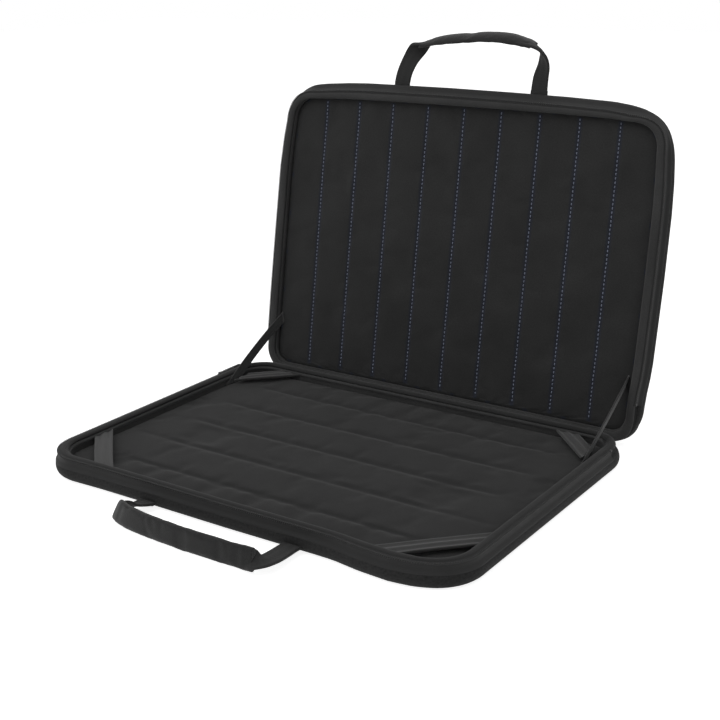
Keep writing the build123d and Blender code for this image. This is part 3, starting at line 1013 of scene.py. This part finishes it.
class Track:
    """Smooth line through (x, out) points of a handle's plane, walked by its share of length.

    It starts lift above the handle's plane, and comes down to drop below it away from the shell.
    """

    def __init__(self, points, lift, drop):
        self.lift, self.drop = lift, drop
        points = np.array(points, float)
        padded = np.vstack([2 * points[0] - points[1], points, 2 * points[-1] - points[-2]])
        line = []
        for k in range(1, len(padded) - 2):
            a, b, c, d = padded[k - 1 : k + 3]
            for t in np.linspace(0, 1, SPAN_STEPS, endpoint=False):
                square, cube = 2 * a - 5 * b + 4 * c - d, 3 * b - a - 3 * c + d
                line.append(0.5 * (2 * b + (c - a) * t + square * t**2 + cube * t**3))
        line.append(padded[-2])
        self.line = np.array(line)
        self.run = lengths(self.line, False)

    def at(self, share):
        return walk(self.run, self.line, share * self.run[-1])

    def share_of(self, index):
        """Share of length at one of the points the line was drawn through."""
        return self.run[SPAN_STEPS * index] / self.run[-1]

    def place(self, share, across, through, twist):
        """Point of the section at share. twist is 0 where the strap lies flat and pi / 2 on its edge."""
        ahead = self.at(min(1.0, share + 0.004)) - self.at(max(0.0, share - 0.004))
        ahead = ahead / np.linalg.norm(ahead)
        x, out = self.at(share)
        along = np.array([ahead[0], 0, ahead[1]])
        across_way = np.array([ahead[1] * cos(twist), sin(twist), -ahead[0] * cos(twist)])
        through_way = np.cross(along, across_way)
        x, up, out = np.array([x, 0, out]) + across_way * across + through_way * through
        free = min(1.0, max(0.0, out / FREE_LENGTH))
        free = free * free * (3 - 2 * free)
        up += self.lift * (1 - free) - self.drop * free
        return FOLD + ACROSS * x + UP * up + OUT * out


def padded_grip(name, half, body, track, thickness, thin, slant, roll):
    """Sleeve of padded cloth: folded at one edge, sewn along the other, hemmed at its ends.

    thin is how flat its two ends are pressed. Its first end is cut back by slant at the top, and rolled.
    """
    shares = np.linspace(0, 1, 57)
    turns = np.linspace(0, 2 * pi, 32, endpoint=False)
    length = track.run[-1]
    rows = []
    for share in shares:
        into = min(share, 1 - share) * length
        flattened = (1 - thin[0 if share < 0.5 else 1]) * (1 - min(1.0, into / PRESSED_LENGTH)) ** 2
        hem = 1.0 if into < HEM_LENGTH else 0.0
        half_width = SLEEVE_WIDTH / 2 * (1 + 0.04 * hem - 0.3 * flattened)
        half_thick = thickness / 2 * (1 - flattened) * (0.95 + 0.12 * hem)
        near_start = max(0.0, 1 - share * 3)
        section = []
        for turn in turns:
            across = bent(cos(turn), 0.5) * half_width
            through = bent(sin(turn), 0.7) * half_thick
            cut = slant * (across / SLEEVE_WIDTH + 0.5) * near_start / length
            section.append(track.place(min(1.0, share + cut), across, through, pi / 2 - roll * near_start))
        rows.append(section)
    rows = np.array(rows)
    held = np.zeros(rows.shape[:2], bool)
    held[[0, 1, 4, 5, -6, -5, -2, -1], :] = held[:, [0, len(turns) // 2]] = True
    faces = grid_faces(*held.shape, around=True)
    rows = simulate(rows.reshape(-1, 3), faces, held.ravel(), 4.0, 0.3).reshape(rows.shape)
    for end in (0, -1):
        middle = rows[end].mean(axis=0)
        push = (rows[end] - rows[1 if end == 0 else -2]).mean(axis=0)
        push *= 0.35 / np.linalg.norm(push)
        cap = [middle + (rows[end] - middle) * share + push for share in (0.96, 0.5, 0.03)]
        extra = np.array([rows[end] + push * 0.4] + cap)
        rows = np.concatenate([extra[::-1], rows] if end == 0 else [rows, extra])
    grip = surface(name, rows, MATRIX[half])
    dress(smoother(grip), "grip", body, [f"{body}_grip"])


def carrying_handle(
    half, body, points, twists, grip_points, thickness, thin, lift, drop, slant=0.0, roll=0.0
):
    """Handle through points, as (x, out). twists gives (point's index, degrees) along it.

    The sleeve follows grip_points. thickness, thin, slant and roll are its own.
    """
    matrix = MATRIX[half]
    track = Track(points, lift, drop)
    marks = [track.share_of(index) for index, _ in twists]
    degrees = [angle for _, angle in twists]

    def place(share, across, through):
        return track.place(share, across, through, radians(np.interp(share, marks, degrees)))

    webbing = strap(f"{body}_strap", np.linspace(0, 1, 101), place, WEBBING_WIDTH, 2.0, matrix, ribs=0.1)
    dress(smoother(webbing), "webbing", body, [f"{body}_webbing"])
    padded_grip(f"{body}_sleeve", half, body, Track(grip_points, lift, drop), thickness, thin, slant, roll)
    roots = []
    for x in (points[0][0], points[-1][0]):

        def root_place(step, across, through):
            return (x + across, -FRONT_FACE - ROOT_OUT + ROOT_LENGTH * step, ROOT_HEIGHT + lift + through)

        width = WEBBING_WIDTH - 0.1
        roots.append(strap(f"{body}_root", np.linspace(0, 1, 5), root_place, width, 1.9, matrix))
    dress(join(f"{body}_roots", roots), "webbing", half, [f"{body}_anchors"])


carrying_handle(
    "base",
    "lower_handle",
    [(-70, -3), (-70, 0), (-71, 6), (-72, 12), (-72.5, 17), (-70, 23.5), (-62, 29), (-40, 33.3), (0, 35.4),
     (40, 35.2), (52, 35.2), (59, 33.6), (62.8, 28), (62.2, 17), (60.5, 5), (60, 0), (60, -3)],
    [(1, 0), (2, 8), (3, 18), (4, 45), (5, 82), (6, 90), (9, 90), (10, 75), (11, 24), (12, 3), (14, 0)],
    [(-77, 22.4), (-67, 27.6), (-55, 31.2), (-40, 33.4), (-20, 34.9), (0, 35.6), (20, 35.8), (40, 35.4),
     (56, 34.6)],
    thickness=5.0, thin=(0.8, 0.9), lift=0.0, drop=0.1, slant=5.0, roll=0.3,
)
# In the lid's frame x runs the other way
carrying_handle(
    "lid",
    "upper_handle",
    [(-64.3, -3), (-64.3, 0), (-64.6, 12), (-65.7, 20), (-65.1, 27), (-62, 33.5), (-52, 39.0), (-34, 42.2),
     (-16, 42.7), (3, 41.3), (22, 39.2), (36, 36.8), (44, 34.6), (49, 32.0), (54, 27.6), (58.5, 21.5),
     (62, 14.5), (64.2, 7.5), (65.4, 0), (65.4, -3)],
    [(1, 176), (2, 169), (3, 156), (4, 140), (5, 118), (6, 96), (7, 90), (11, 90), (12, 98), (13, 130),
     (14, 165), (15, 178), (16, 180)],
    [(-56, 37.6), (-51, 39.3), (-34, 42.2), (-16, 42.7), (3, 41.2), (22, 39.1), (36, 36.6), (47, 33.4)],
    thickness=5.6, thin=(0.4, 0.4), lift=3.0, drop=0.0,
)

# --- Studio ---

OBJECT_MIDDLE = (0, 0, 0.1)


def soft_light(name, place, size, power):
    """Round area light that points at the object."""
    data = bpy.data.lights.new(name, "AREA")
    data.shape = "DISK"
    data.size = size
    data.energy = power
    lamp = add_object(name, data)
    lamp.location = place
    lamp.rotation_euler = (Vector(OBJECT_MIDDLE) - Vector(place)).to_track_quat("-Z", "Y").to_euler()


def seen_directly(tree):
    """1 for camera, glossy and transmission rays, 0 for the rest."""
    rays = add_node(tree, "ShaderNodeLightPath").outputs
    total = rays["Is Camera Ray"]
    for output in ("Is Glossy Ray", "Is Transmission Ray"):
        total = add_node(tree, "ShaderNodeMath", {0: total, 1: rays[output]}, operation="MAXIMUM").outputs[0]
    return total


def studio():
    """Soft lights, and a world and floor that are white where the camera sees them."""
    soft_light("key", (-0.7, -1.5, 1.9), size=1.6, power=9)
    soft_light("top", (0.1, -0.1, 2.0), size=2.0, power=6)
    soft_light("side", (1.8, -0.9, 1.0), size=1.2, power=1.0)

    world = bpy.context.scene.world or bpy.data.worlds.new("world")
    bpy.context.scene.world = world
    world.use_nodes = True
    tree = world.node_tree
    inputs = {"Value": seen_directly(tree), "To Min": 0.38, "To Max": 1.0}
    level = add_node(tree, "ShaderNodeMapRange", inputs)
    connect(tree.nodes["Background"], {"Color": (1, 1, 1, 1), "Strength": level.outputs["Result"]})

    mesh = bpy.data.meshes.new("floor")
    mesh.from_pydata([(-4, -4, 0), (4, -4, 0), (4, 4, 0), (-4, 4, 0)], [], [(0, 1, 2, 3)])
    paper = Shader("studio_floor")
    glow = paper.math("MULTIPLY", seen_directly(paper.tree), 0.85)
    paper.finish(
        Base_Color=(0.8, 0.8, 0.8, 1), Roughness=0.9, Emission_Color=(1, 1, 1, 1), Emission_Strength=glow,
    )
    mesh.materials.append(paper.material)
    add_object("floor", mesh)
    bpy.context.scene.view_settings.view_transform = "Standard"


studio()
